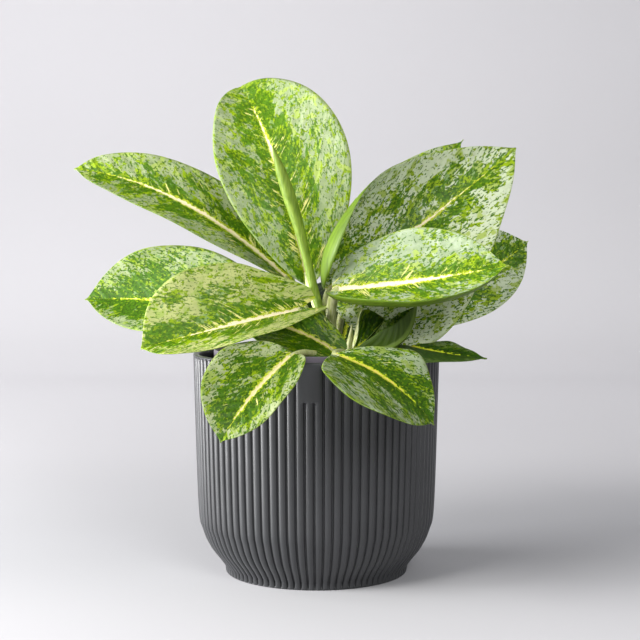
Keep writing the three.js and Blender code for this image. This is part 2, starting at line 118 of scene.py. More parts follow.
# leaves, with the values of their solids: where the stalk leaves the stem and how steeply, the
# midrib's base, middle and tip, the way the blade faces, the half widths left and right, the
# degrees that each half is folded up at the midrib, curls to its margin and is cupped at the base,
# where it is widest, how round it is at the base (full) and the tip (sharp), how far the margin
# reaches back (lobe) and waves; point draws the very tip in to a drip point. Then, from 0 to 1,
# green is how far green covers the silver, pale how light the silver is, warm how yellow,
# age how deeply a painted shade darkens the whole leaf where it lies in the shade of
# others, and streak how many cream and lime feathers it has
LEAF_DEFAULTS = {
    "stem": "stem_main", "lift": 0.9, "stalk": 2.2,
    "faceTip": None, "fold": (8, 8), "curl": (10, 10), "cup": (0, 0),
    "wide": 0.5, "full": 0.6, "sharp": 0.9, "point": 0.7, "lobe": 0, "wave": 0.8, "waves": 2.5,
    "green": 0, "pale": 0.5, "age": 0, "streak": 0,
}
LEAVES = {
    "leaf_upright": {
        "root": 134,
        "green": 0.25, "pale": 0, "warm": 0.3, "age": 0.05, "streak": 0.8,
        "base": (-4, 6, 163), "middle": (-23, 8, 233), "tip": (-46, 54, 282),
        "face": (0, -1, 0.15), "faceTip": (-0.1, -1, 0.5), "half": (34, 43),
        "fold": (4, 4), "curl": (12, 12),
        "wide": 0.51, "full": 0.7, "sharp": 0.48, "stalk": 2.6, "point": 0,
    },
    "leaf_upper_left": {
        "root": 127, "lift": 0.5,
        "green": 0.2, "pale": 0.1, "warm": 0.4, "age": 0.05, "streak": 0.6,
        "base": (-12, 25, 162), "middle": (-78, 31, 211), "tip": (-145, 40, 232),
        "face": (-0.1, -0.55, 0.8), "faceTip": (0.1, -1, 0.4), "half": (22, 24),
        "fold": (14, 6), "curl": (12, 12), "wide": 0.47, "full": 0.85, "sharp": 0.56,
    },
    "leaf_rear_left": {
        "root": 122, "lift": 0.4,
        "green": 0.4, "pale": 0.15, "warm": 0.4, "age": 0.3,
        "base": (-25, 22, 149), "middle": (-85, 46, 153), "tip": (-143, 62, 153),
        "face": (0, -0.9, 0.45), "half": (27, 34),
        "fold": (14, 14), "wide": 0.52, "full": 0.53, "sharp": 0.84,
    },
    "leaf_front_left": {
        "root": 127,
        "green": 0.3, "pale": 0.9, "warm": 0.9, "streak": 0.9,
        "base": (-7, -18, 151), "middle": (-44, -47, 144), "tip": (-93, -61, 132),
        "face": (0, -0.8, 0.6), "half": (24, 36),
        "fold": (30, 20), "curl": (5, 5), "wide": 0.57, "full": 0.38, "sharp": 0.4, "lobe": 1,
    },
    "leaf_front_right": {
        "root": 128,
        "green": 0.1, "pale": 0.15, "warm": 0, "streak": 0.7,
        "base": (8, -16, 162), "middle": (54, -34, 167), "tip": (104, -46, 176),
        "face": (-0.4, -0.8, 0.45), "faceTip": (-0.2, -0.95, 0.2), "half": (29, 40),
        "fold": (8, 10), "curl": (10, 85), "cup": (0, 10),
        "full": 0.44, "sharp": 0.88, "stalk": 3,
    },
    "leaf_upper_right": {
        "root": 130,
        "green": 0, "pale": 1, "warm": 0.15, "streak": 0.15,
        "base": (5, 6, 160), "middle": (50, 10, 190), "tip": (118, 30, 244),
        "face": (-0.18, -1, 0.22), "half": (60, 63),
        "fold": (2, 6), "curl": (25, 10), "cup": (162, 0),
        "wide": 0.34, "full": 0.95, "sharp": 0.75, "point": 0.3,
    },
    "leaf_rear_right": {
        "root": 124,
        "green": 0.2, "pale": 0.9, "warm": 0.1, "age": 0.1,
        "base": (49, 24, 134), "middle": (93, 44, 162), "tip": (130, 60, 189),
        "face": (0.2, -1, 0.25), "half": (33, 21),
        "wide": 0.56, "full": 0.8, "sharp": 1,
    },
    "leaf_back_low": {
        "root": 121, "lift": 0.2,
        "green": 0.6, "pale": 0.2, "warm": 0.3, "age": 0.8,
        "base": (15, 18, 129), "middle": (22, 46, 149), "tip": (30, 86, 163),
        "face": (0, -0.5, 1), "half": (31, 29),
    },
    "leaf_back_right": {
        "root": 126, "lift": 0.6,
        "green": 0.3, "pale": 0.4, "warm": 0.3, "age": 0.2, "streak": 0.2,
        "base": (17, 26, 161), "middle": (55, 44, 210), "tip": (90, 62, 251),
        "face": (-0.3, -1, 0.2), "half": (26, 26),
        "wide": 0.36, "full": 0.55, "sharp": 1.1,
    },
    "leaf_low_left": {
        "root": 121, "lift": 0.2,
        "green": 0.3, "warm": 0.5, "age": 0.2, "streak": 0.2,
        "base": (-12, -66, 130), "middle": (-32, -90, 111), "tip": (-48, -104, 88),
        "face": (-0.1, -0.6, 0.8), "faceTip": (-0.1, -1, 0.2), "half": (18, 28),
        "fold": (10, 10), "wide": 0.42, "full": 0.4, "sharp": 0.8, "stalk": 1.8,
    },
    "leaf_low_centre": {
        "stem": "stem_side", "root": 122, "lift": 0.4,
        "green": 0.8, "pale": 0, "warm": 0.6, "age": 0.3, "streak": 0.4,
        "base": (9, -27, 128.5), "middle": (-13, -24, 139.5), "tip": (-44, -16, 146),
        "face": (0.1, -0.45, 0.9), "half": (27, 15),
        "fold": (0, 40), "wide": 0.45, "full": 0.35, "sharp": 0.73, "lobe": 0.6, "stalk": 1.8,
    },
    "leaf_low_right": {
        "stem": "stem_side", "root": 120.5, "lift": 0.6,
        "green": 0.4, "pale": 0.6, "warm": 0.1, "age": 0.45, "streak": 0.1,
        "base": (9, -70, 130), "middle": (37, -92, 118), "tip": (60, -96, 96),
        "face": (-0.1, -0.3, 1), "faceTip": (0.65, -0.65, 0.4), "half": (25, 44),
        "fold": (10, 10), "wide": 0.48, "full": 1, "sharp": 1, "stalk": 1.8,
    },
    "leaf_small_cupped": {
        "stem": "stem_side", "root": 124, "lift": 0.5,
        "green": 0.7, "pale": 0.1, "warm": 0.4, "age": 0.6,
        "base": (12, -33, 127.5), "middle": (24, -28, 131), "tip": (38, -18, 146),
        "face": (-0.1, -0.6, 0.8), "half": (15, 7),
        "fold": (35, 40), "curl": (60, 30),
        "wide": 0.82, "full": 1.1, "sharp": 0.6, "wave": 0.3, "stalk": 1.6,
    },
    "leaf_cupped": {
        "stem": "stem_side", "root": 124, "lift": 0.3,
        "green": 0.6, "pale": 0, "warm": 0.5, "age": 0.6,
        "base": (22, -30, 128), "middle": (46, -27, 133), "tip": (56, -15, 153),
        "face": (-0.4, -0.1, 0.9), "half": (20, 11),
        "fold": (20, 80), "curl": (30, 16), "wide": 0.43, "full": 0.65, "sharp": 0.6, "wave": 0.3,
    },
    "leaf_right_rim": {
        "stem": "stem_side", "root": 119, "lift": 0.2,
        "green": 0.7, "pale": 0.3, "warm": 0.2, "age": 0.8,
        "base": (44, -8, 132), "middle": (68, -35, 128), "tip": (92, -49, 126),
        "face": (0, -0.4, 1), "half": (10, 32),
        "wide": 0.45, "full": 0.4, "sharp": 1.5, "stalk": 1.8,
    },
}

BLADE_THICKNESS = 0.5
BLADE_ROWS = 112
BLADE_COLUMNS = 23  # on each half
BLADE_ENDS = (0.008, 0.997)  # the way along the midrib from the blade's first row to its last
STALK_SIDES = 20
STALK_STEPS = 40
VEIN_SPACING = 6.5  # between main side veins, along the midrib
VEIN_SWELL = 0.13  # how far the blade swells between them

# ---------------- nodes and colours


def srgb(code):
    """An sRGB hex colour as linear RGBA."""
    parts = [int(code[i:i + 2], 16) / 255 for i in (1, 3, 5)]
    linear = [c / 12.92 if c <= 0.04045 else ((c + 0.055) / 1.055) ** 2.4 for c in parts]
    return (*linear, 1.0)


def add(tree, kind, links=None, **settings):
    """A node with its settings; links gives an input a value, a socket, a node or a list of them."""
    node = tree.nodes.new(kind)
    for key, value in settings.items():
        setattr(node, key, value)
    for key, value in (links or {}).items():
        for source in value if isinstance(value, list) else [value]:
            if isinstance(source, bpy.types.Node):
                source = next(output for output in source.outputs if output.enabled)
            if isinstance(source, bpy.types.NodeSocket):
                tree.links.new(source, node.inputs[key])
            else:
                node.inputs[key].default_value = source
    return node


def new_node_group(name, inputs):
    """A geometry node tree, the identifiers of its named inputs, and their sockets inside it."""
    tree = bpy.data.node_groups.new(name, "GeometryNodeTree")
    tree.interface.new_socket("Geometry", in_out="OUTPUT", socket_type="NodeSocketGeometry")
    identifiers = {}
    for label, kind in inputs.items():
        socket = tree.interface.new_socket(label, in_out="INPUT", socket_type=f"NodeSocket{kind}")
        identifiers[label] = socket.identifier
    return tree, identifiers, add(tree, "NodeGroupInput").outputs


def new_material(name):
    """An empty material and its node tree."""
    material = bpy.data.materials.new(name)
    material.use_nodes = True
    material.node_tree.nodes.clear()
    return material, material.node_tree


def finish_surface(tree, links):
    """The shader of a surface and its output."""
    shader = add(tree, "ShaderNodeBsdfPrincipled", links)
    add(tree, "ShaderNodeOutputMaterial", {"Surface": shader})


# ---------------- materials


def moulded_plastic(name, low, high, roughness, grain_mm):
    """Injection-moulded polypropylene, matt: the tool's fine spark grain scatters the light."""
    material, tree = new_material(name)
    place = add(tree, "ShaderNodeTexCoord").outputs["Object"]
    cloud = add(tree, "ShaderNodeTexNoise", {"Vector": place, "Scale": 40, "Detail": 3})
    grain = add(tree, "ShaderNodeTexNoise", {"Vector": place, "Scale": 1 / (grain_mm * MM), "Detail": 2})
    finish_surface(tree, {
        "Base Color": add(tree, "ShaderNodeMix", {0: cloud, 6: srgb(low), 7: srgb(high)}, data_type="RGBA"),
        "Roughness": add(tree, "ShaderNodeMapRange", {0: cloud, 3: roughness - 0.04, 4: roughness + 0.06}),
        "Normal": add(tree, "ShaderNodeBump", {"Height": grain, "Strength": 0.12, "Distance": 0.0002}),
        "IOR": 1.49,
    })
    return material


def potting_soil():
    """Moist peat with bark crumbs: dull, near black in the gaps, red-brown on the crumbs."""
    material, tree = new_material("potting_soil")
    place = add(tree, "ShaderNodeTexCoord").outputs["Object"]
    crumb = add(tree, "ShaderNodeTexNoise", {"Vector": place, "Scale": 260, "Detail": 4})
    patch = add(tree, "ShaderNodeTexVoronoi", {"Vector": place, "Scale": 330}).outputs["Color"]
    tint = add(tree, "ShaderNodeSeparateColor", {0: patch})
    bark = add(tree, "ShaderNodeMapRange", {0: tint, 1: 0.7, 2: 0.95})
    colour = srgb("#1d130d")
    for share, paint in ((crumb, "#3b2819"), (bark, "#5d4028")):
        colour = add(tree, "ShaderNodeMix", {0: share, 6: colour, 7: srgb(paint)}, data_type="RGBA")
    finish_surface(tree, {
        "Base Color": colour, "Roughness": 0.9, "Specular IOR Level": 0.25,
        "Normal": add(tree, "ShaderNodeBump", {"Height": crumb, "Strength": 0.8, "Distance": 0.0006}),
    })
    return material


def plant_skin(name, low, high, streak_mm, roughness):
    """Smooth living skin: a stalk, a sheath or an unrolling leaf, faintly streaked lengthwise."""
    material, tree = new_material(name)
    place = add(tree, "ShaderNodeTexCoord").outputs["Object"]
    stretched = add(tree, "ShaderNodeMapping", {"Vector": place, "Scale": (1, 1, 0.12)})
    scale = 1 / (streak_mm * MM)
    streak = add(tree, "ShaderNodeTexNoise", {"Vector": stretched, "Scale": scale, "Detail": 2})
    share = add(tree, "ShaderNodeMapRange", {0: streak, 1: 0.35, 2: 0.65})
    finish_surface(tree, {
        "Base Color": add(tree, "ShaderNodeMix", {0: share, 6: srgb(low), 7: srgb(high)}, data_type="RGBA"),
        "Roughness": roughness, "IOR": 1.42,
        "Normal": add(tree, "ShaderNodeBump", {"Height": streak, "Strength": 0.25, "Distance": 0.0003}),
        "Subsurface Weight": 0.12, "Subsurface Radius": (0.8, 1.0, 0.3), "Subsurface Scale": 0.0015,
    })
    return material


def leaf_upper():
    """Waxy variegated leaf: silver ground, green round the midrib, dark flecks, cream veins."""
    material, tree = new_material("leaf_upper")
    surface, veins, blade = (
        add(tree, "ShaderNodeUVMap", uv_map=key).outputs[0] for key in ("surface", "veins", "blade"))
    along, across = add(tree, "ShaderNodeSeparateXYZ", {0: blade}).outputs[:2]
    rib, green, pale, warm, age, streak = (
        add(tree, "ShaderNodeAttribute", attribute_name=key).outputs["Fac"]
        for key in ("rib_mm", "green", "pale", "warm", "age", "streak"))

    def noise(place, wide, long, detail, rough, shift):
        """Noise of a size in millimetres along the midrib and across it."""
        size, start = (1 / wide, 1 / long, 1), (shift, shift, 0)
        spot = add(tree, "ShaderNodeMapping", {"Vector": place, "Location": start, "Scale": size})
        links = {"Vector": spot, "Scale": 1, "Detail": detail, "Roughness": rough}
        return add(tree, "ShaderNodeTexNoise", links, noise_dimensions="2D")

    # how near the midrib, as a share of the blade's width, with a ragged limit; tips are greener
    drift = noise(veins, 24, 13, 2, 0.5, 3.1)
    near = add(tree, "ShaderNodeMath", {0: drift, 1: -1.7, 2: across}, operation="MULTIPLY_ADD")
    band = add(tree, "ShaderNodeMapRange", {0: near, 1: -0.72, 2: -0.1, 3: 1, 4: 0})
    tip = add(tree, "ShaderNodeMapRange", {0: along, 1: 0.84, 2: 1, 4: 0.7})
    band = add(tree, "ShaderNodeMath", {0: band, 1: tip}, operation="MAXIMUM")
    greener = add(tree, "ShaderNodeMath", {0: band, 1: green}, operation="ADD")
    # flecks crowd together in some places and leave others clear
    clump = noise(surface, 15, 12, 2, 0.5, 29.0)

    tone = noise(surface, 12, 9, 3, 0.6, 7.7)
    ground = add(tree, "ShaderNodeMapRange", {0: tone, 1: 0.35, 2: 0.65, 3: -0.3, 4: 0.3})
    ground = add(tree, "ShaderNodeMath", {0: ground, 1: pale}, operation="ADD", use_clamp=True)
    # layers of colour from the ground up: mask, colour and how it is laid on
    layers = [(ground, srgb("#c8d3b9"), "MIX"), (warm, srgb("#f0eba2"), "MULTIPLY")]
    # each coat: colour, its map and size, detail, roughness, threshold, softness, how much the
    # green band and the crowding pull it, and how much a leaf with many streaks thins it
    coats = [
        ("#a1b45d", surface, 8, 7, 3, 0.55, 0.67, 0.03, 0.12, 0.10, 0),
        ("#90ac0c", veins, 11, 8, 4, 0.62, 0.81, 0.008, 0.28, 0.14, 0),
        ("#7e9b60", surface, 8, 6, 3, 0.60, 0.83, 0.008, 0.20, 0.10, 0.2),
        ("#4e7a08", veins, 8, 6, 4, 0.64, 0.87, 0.008, 0.29, 0.18, 0.1),
        ("#7d9814", surface, 3.2, 2.3, 2, 0.55, 0.74, 0.012, 0.05, 0.24, 0),
        ("#466f08", veins, 3.0, 1.9, 2, 0.55, 0.78, 0.012, 0.12, 0.24, 0.25),
        ("#3a5c08", surface, 1.8, 1.3, 1, 0.5, 0.81, 0.015, 0.10, 0.24, 0.35),
    ]
    for number, (paint, *pattern, level, soft, pull, crowd, thin) in enumerate(coats):
        height = noise(*pattern, 11.3 * (number + 1))
        for share, amount in ((greener, pull), (clump, crowd)):
            links = {0: share, 1: amount, 2: height}
            height = add(tree, "ShaderNodeMath", links, operation="MULTIPLY_ADD")
        cover = add(tree, "ShaderNodeMath", {0: streak, 1: -thin, 2: 1}, operation="MULTIPLY_ADD")
        links = {0: height, 1: level - soft, 2: level + soft, 4: cover}
        layers.append((add(tree, "ShaderNodeMapRange", links), srgb(paint), "MIX"))

    # painted shade: leaves that lie in the shade of others are darkened to a deeper green all over
    layers.append((age, srgb("#5e7c20"), "MULTIPLY"))

    # lime dashes and cream feathers that run out from the midrib along the veins
    short = add(tree, "ShaderNodeMapRange", {0: along, 1: 0.5, 2: 1, 3: 0, 4: -0.14})
    feathers = (("#c0d030", 2.8, 3.4, 15, 70.0), ("#ece690", 2.5, 11, 28, 91.0))
    for paint, wide, long, reach, shift in feathers:
        lit = noise(veins, wide, long, 4, 0.7, shift)
        fade = add(tree, "ShaderNodeMapRange", {0: rib, 1: 0.5, 2: reach, 3: 0.20, 4: -0.10})
        for share, amount in ((streak, fade), (clump, 0.3), (short, 1)):
            lit = add(tree, "ShaderNodeMath", {0: share, 1: amount, 2: lit}, operation="MULTIPLY_ADD")
        mask = add(tree, "ShaderNodeMapRange", {0: lit, 1: 0.88, 2: 0.92, 4: 0.9})
        layers.append((mask, srgb(paint), "MIX"))

    # the midrib itself: yellow-green edges and a cream middle, both ragged, that end before the
    # tip; the painted shade makes both thinner and darkens the cream to yellow
    ragged = noise(surface, 3.0, 1.6, 4, 0.65, 55.0)
    shaded_midrib = add(tree, "ShaderNodeMapRange", {0: age, 1: 0, 2: 0.5})
    links = {0: shaded_midrib, 6: srgb("#fbeecb"), 7: srgb("#c6b93c")}
    cream = add(tree, "ShaderNodeMix", links, data_type="RGBA")
    for paint, base_mm, tip_mm, rough in ((srgb("#b6c428"), 4.0, -1.0, 5.0), (cream, 2.5, -2.0, 3.4)):
        inside = add(tree, "ShaderNodeMapRange", {0: along, 1: 0.5, 3: base_mm / 2, 4: tip_mm / 2})
        wobble = add(tree, "ShaderNodeMapRange", {0: ragged, 3: -0.5 * rough, 4: 0.5 * rough})
        for share, amount in ((age, -1.3), (wobble, 1), (rib, -1)):
            links = {0: share, 1: amount, 2: inside}
            inside = add(tree, "ShaderNodeMath", links, operation="MULTIPLY_ADD")
        mask = add(tree, "ShaderNodeMapRange", {0: inside, 1: -0.15, 2: 0.15})
        layers.append((mask, paint, "MIX"))

    # yellow-green margin and tip
    for place, start, end in ((across, 0.975, 0.993), (along, 0.965, 0.99)):
        mask = add(tree, "ShaderNodeMapRange", {0: place, 1: start, 2: end, 4: 0.45})
        layers.append((mask, srgb("#98ad3c"), "MIX"))

    colour = srgb("#94a482")
    for mask, paint, blend in layers:
        links = {0: mask, 6: colour, 7: paint}
        colour = add(tree, "ShaderNodeMix", links, data_type="RGBA", blend_type=blend)

    # the blade is quilted between its veins, with fine pores on top
    quilted = noise(veins, 7, 40, 1, 0.5, 17.0)
    pores = noise(surface, 0.8, 0.8, 2, 0.5, 23.0)
    bump = add(tree, "ShaderNodeBump", {"Height": quilted, "Strength": 0.5, "Distance": 0.0012})
    links = {"Height": pores, "Normal": bump, "Strength": 0.12, "Distance": 0.0002}
    finish_surface(tree, {
        "Base Color": colour, "Roughness": 0.45, "IOR": 1.42, "Specular IOR Level": 0.24,
        "Normal": add(tree, "ShaderNodeBump", links),
        "Subsurface Weight": 0.12, "Subsurface Radius": (0.7, 1.0, 0.25), "Subsurface Scale": 0.001,
    })
    return material


def leaf_underside():
    """The leaf's lower face: plain yellow-green, matt, with a paler keel and faint side veins."""
    material, tree = new_material("leaf_underside")
    veins = add(tree, "ShaderNodeUVMap", uv_map="veins")
    rib, age = (
        add(tree, "ShaderNodeAttribute", attribute_name=key).outputs["Fac"] for key in ("rib_mm", "age"))
    spot = add(tree, "ShaderNodeMapping", {"Vector": veins, "Scale": (1 / VEIN_SPACING, 0.03, 1)})
    links = {"Vector": spot, "Scale": 2.2, "Detail": 3}
    cloud = add(tree, "ShaderNodeTexNoise", links, noise_dimensions="2D")
    share = add(tree, "ShaderNodeMapRange", {0: cloud, 1: 0.35, 2: 0.68})
    keel = add(tree, "ShaderNodeMapRange", {0: rib, 1: 1.4, 2: 2.4, 3: 0.7, 4: 0})
    colour = srgb("#4e6807")
    # a paler keel, and the painted shade that darkens the lower face of shaded leaves
    for mask, paint, blend in (
        (share, "#648014", "MIX"), (keel, "#9db452", "MIX"), (age, "#7f9a40", "MULTIPLY"),
    ):
        links = {0: mask, 6: colour, 7: srgb(paint)}
        colour = add(tree, "ShaderNodeMix", links, data_type="RGBA", blend_type=blend)
    finish_surface(tree, {
        "Base Color": colour, "Roughness": 0.55, "IOR": 1.45,
        "Normal": add(tree, "ShaderNodeBump", {"Height": cloud, "Strength": 0.2, "Distance": 0.0003}),
        "Subsurface Weight": 0.15, "Subsurface Radius": (0.7, 1.0, 0.25), "Subsurface Scale": 0.001,
    })
    return material


def studio_paper():
    """The floor and the wall behind: seamless matt paper, with a painted shadow round the pot and painted
    light in the bend.
    """
    material, tree = new_material("studio_paper")
    place = add(tree, "ShaderNodeTexCoord").outputs["Object"]
    _, depth, height = add(tree, "ShaderNodeSeparateXYZ", {0: place}).outputs
    # each step: what it runs along, from where to where in metres, and its value at each end
    steps = [
        (depth, -0.16, 0.04, 0, 1), (depth, 0.06, 0.5, 1, 0), (depth, 1.08, 1.3, 1, 0.5),
        (height, 0, 0.35, 1, 0), (depth, 0.25, 1.08, 0, 1),
    ]
    rise, fall, bend, wall, floor = (
        add(tree, "ShaderNodeMapRange", dict(enumerate(step)), interpolation_type="SMOOTHSTEP")
        for step in steps)
    # painted shadow: a soft dark band across the floor at the pot's depth
    dark = add(tree, "ShaderNodeMath", {0: rise, 1: fall}, operation="MINIMUM")
    # painted light: the back of the floor and the foot of the bend are lighter, where the corner would lie
    # in shade
    light = add(tree, "ShaderNodeMath", {0: bend, 1: wall}, operation="MULTIPLY")
    light = add(tree, "ShaderNodeMath", {0: floor, 1: light}, operation="MINIMUM")
    colour = srgb("#cbcacd")
    for mask, paint in ((dark, "#bcbcbf"), (light, "#e4e3e6")):
        colour = add(tree, "ShaderNodeMix", {0: mask, 6: colour, 7: srgb(paint)}, data_type="RGBA")
    finish_surface(tree, {"Base Color": colour, "Roughness": 0.9, "Specular IOR Level": 0.2})
    return material


POT_PLASTIC = moulded_plastic("anthracite_polypropylene", "#2f3032", "#3a3b3d", 0.36, 0.35)
GROW_PLASTIC = moulded_plastic("thermoformed_polypropylene", "#524c55", "#5e5862", 0.45, 0.5)
SOIL = potting_soil()
STALK_SKIN = plant_skin("stalk_skin", "#a5b060", "#d0d2a2", 0.9, 0.45)
YOUNG_SKIN = plant_skin("young_leaf_skin", "#5c7614", "#7d942f", 1.2, 0.6)
LEAF_UPPER = leaf_upper()
LEAF_UNDER = leaf_underside()
PAPER = studio_paper()

# ---------------- meshes


def placed(name, data, **where):
    """An object in the scene that holds the data."""
    item = bpy.data.objects.new(name, data)
    for key, value in where.items():
        setattr(item, key, value)
    bpy.context.scene.collection.objects.link(item)
    return item


def plain_mesh(piece):
    """The mesh that a piece's modifiers make, which are then removed."""
    bpy.context.view_layer.update()
    evaluated = piece.evaluated_get(bpy.context.evaluated_depsgraph_get())
    mesh = bpy.data.meshes.new_from_object(evaluated)
    piece.modifiers.clear()
    return mesh


def new_piece(name, points, faces, material, metres=MM):
    """A smooth mesh object from points in millimetres."""
    mesh = bpy.data.meshes.new(name)
    mesh.from_pydata((np.asarray(points) * metres).tolist(), [], faces)
    mesh.polygons.foreach_set("use_smooth", [True] * len(mesh.polygons))
    mesh.materials.append(material)
    return placed(name, mesh)


def ring_faces(rows, count, start=0):
    """Squares between rings of points, and strips that close the first and the last ring."""
    faces = []
    for i in range(rows - 1):
        for k in range(count):
            a, b = start + i * count + k, start + i * count + (k + 1) % count
            faces.append((a, b, b + count, a + count))
    last = start + (rows - 1) * count
    for k in range(count // 2 - 1):
        other = count - 1 - k
        faces.append((start + k, start + other, start + other - 1, start + k + 1))
        faces.append((last + k, last + k + 1, last + other - 1, last + other))
    return faces


def unit(vectors):
    return vectors / np.linalg.norm(vectors, axis=-1, keepdims=True)


def smooth_line(points, steps):
    """Points at even steps along a smooth curve through the given points."""
    points = np.asarray(points, float)
    ends = [2 * points[0] - points[1], *points, 2 * points[-1] - points[-2]]
    dense = []
    for a, b, c, d in zip(ends, ends[1:], ends[2:], ends[3:]):
        for s in np.linspace(0, 1, 40, endpoint=False):
            bend = (2 * a - 5 * b + 4 * c - d) * s ** 2 + (3 * b - a - 3 * c + d) * s ** 3
            dense.append(0.5 * (2 * b + (c - a) * s + bend))
    dense.append(points[-1])
    dense = np.array(dense)
    travelled = np.concatenate([[0], np.cumsum(np.linalg.norm(np.diff(dense, axis=0), axis=1))])
    even = np.linspace(0, travelled[-1], steps + 1)
    return np.stack([np.interp(even, travelled, dense[:, k]) for k in range(3)], axis=1)


def rod_points(line, radii, sides, roll=0.0, ridge=None):
    """Rings round a line; roll winds the section into a scroll, ridge adds to the radius along it."""
    along = unit(np.gradient(line, axis=0))
    side = unit(np.cross(along, (0.2, 1.0, 0.1)))
    other = np.cross(along, side)
    share = np.linspace(0, 1, len(line))
    radius = np.interp(share, np.linspace(0, 1, len(radii)), radii)
    if ridge is not None:
        radius = radius + ridge(share)
    turn = np.arange(sides) / sides
    reach = radius[:, None] * (1 + roll * (turn[None, :] - 0.5))
    angle = 2 * math.pi * turn
    section = np.cos(angle)[:, None] * side[:, None] + np.sin(angle)[:, None] * other[:, None]
    return (line[:, None] + reach[..., None] * section).reshape(-1, 3)


def turned(name, profile, sides, material):
    """A solid of revolution from (radius, height) pairs that start and end on the axis."""
    points = [(0, 0, profile[0][1])]
    for radius, z in profile[1:-1]:
        for k in range(sides):
            angle = 2 * math.pi * k / sides
            points.append((radius * math.cos(angle), radius * math.sin(angle), z))
    points.append((0, 0, profile[-1][1]))
    faces = []
    last = len(points) - 1
    rows = len(profile) - 2
    for k in range(sides):
        after = (k + 1) % sides
        faces.append((0, 1 + after, 1 + k))
        faces.append((last, 1 + (rows - 1) * sides + k, 1 + (rows - 1) * sides + after))
        for i in range(rows - 1):
            a, b = 1 + i * sides + k, 1 + i * sides + after
            faces.append((a, b, b + sides, a + sides))
    return new_piece(name, points, faces, material)


def rounded(profile, radius, steps=4):
    """The profile with each inner corner replaced by a small arc."""
    points = np.asarray(profile, float)
    result = [tuple(points[0])]
    for before, corner, after in zip(points, points[1:], points[2:]):
        reach = min(radius, *(0.45 * math.dist(corner, other) for other in (before, after)))
        start, end = corner + unit(before - corner) * reach, corner + unit(after - corner) * reach
        for s in np.linspace(0, 1, steps):
            result.append(tuple((1 - s) ** 2 * start + 2 * s * (1 - s) * corner + s ** 2 * end))
    result.append(tuple(points[-1]))
    return result


# ---------------- cover pot


def step_between(low, high, value):
    share = min(max((value - low) / (high - low), 0), 1)
    return share * share * (3 - 2 * share)


def crest_line():
    """Radius and height of the crests, smoothed between the profile's points."""
    line = smooth_line([(r, z, 0) for r, z in POT_PROFILE], 44)
    return [(float(r), float(z)) for r, z, _ in line]


def pot_radius(z):
    line = crest_line()
    return float(np.interp(z, [h for _, h in line], [r for r, _ in line]))


def wall_sector(name, groove_tops):
    """One rib's width of the whole pot wall, with a groove half on each side up to its height."""
    half = [0.1, 0.22, 0.31, GROOVE_EDGE[0], RIB_SHOULDER, 0.45, 0.5]
    shares = [-share for share in reversed(half)] + half
    pitch = 2 * math.pi / RIB_COUNT
    heights = [POT_HEIGHT - PLATE_HEIGHT + d for d in (-0.7, -0.3, 0.3, 0.7)]
    heights += [POT_HEIGHT - RIM_BAND - d for d in (0.9, 0.5)]
    outer = crest_line() + [(pot_radius(z), z) for z in heights]
    outer.sort(key=lambda point: point[1])
    rim_outer, rim_inner = outer[-1][0], outer[-1][0] - POT_WALL
    rim = [
        (rim_outer, POT_HEIGHT - RIM_ROUND),
        (rim_outer - RIM_CUT, POT_HEIGHT - RIM_CUT),
        (rim_outer - RIM_ROUND, POT_HEIGHT),
        (rim_inner + RIM_ROUND, POT_HEIGHT),
        (rim_inner + RIM_CUT, POT_HEIGHT - RIM_CUT),
        (rim_inner, POT_HEIGHT - RIM_ROUND),
    ]
    # the wall thickens towards the floor
    inner = [(pot_radius(z) - POT_WALL - 3 * math.exp(-z / 12), z) for z in (122, 96, 62, 39, 25, 15, 9)]
    profile = POT_FOOT + outer + rim + inner + POT_INSIDE
    points, faces = [], []
    for radius, z in profile:
        for share in shares:
            depth = 0
            if (radius, z) in outer:
                top = groove_tops[0] if share < 0 else groove_tops[1]
                cut = 1 - step_between(top - 0.6, top + 0.3, z)
                crown = RIB_CROWN * (min(abs(share), RIB_SHOULDER) / RIB_SHOULDER) ** 2
                groove = (RIB_DEPTH - RIB_CROWN) * step_between(*GROOVE_EDGE, abs(share))
                depth = cut * (crown + groove)
            angle = -math.pi / 2 + share * pitch
            points.append(((radius - depth) * math.cos(angle), (radius - depth) * math.sin(angle), z))
    count = len(shares)
    for i in range(len(profile) - 1):
        for k in range(count - 1):
            a = i * count + k
            if i == 0:
                faces.append((a, a + count + 1, a + count))
            elif i == len(profile) - 2:
                faces.append((a, a + 1, a + count))
            else:
                faces.append((a, a + 1, a + count + 1, a + count))
    return new_piece(name, points, faces, POT_PLASTIC)


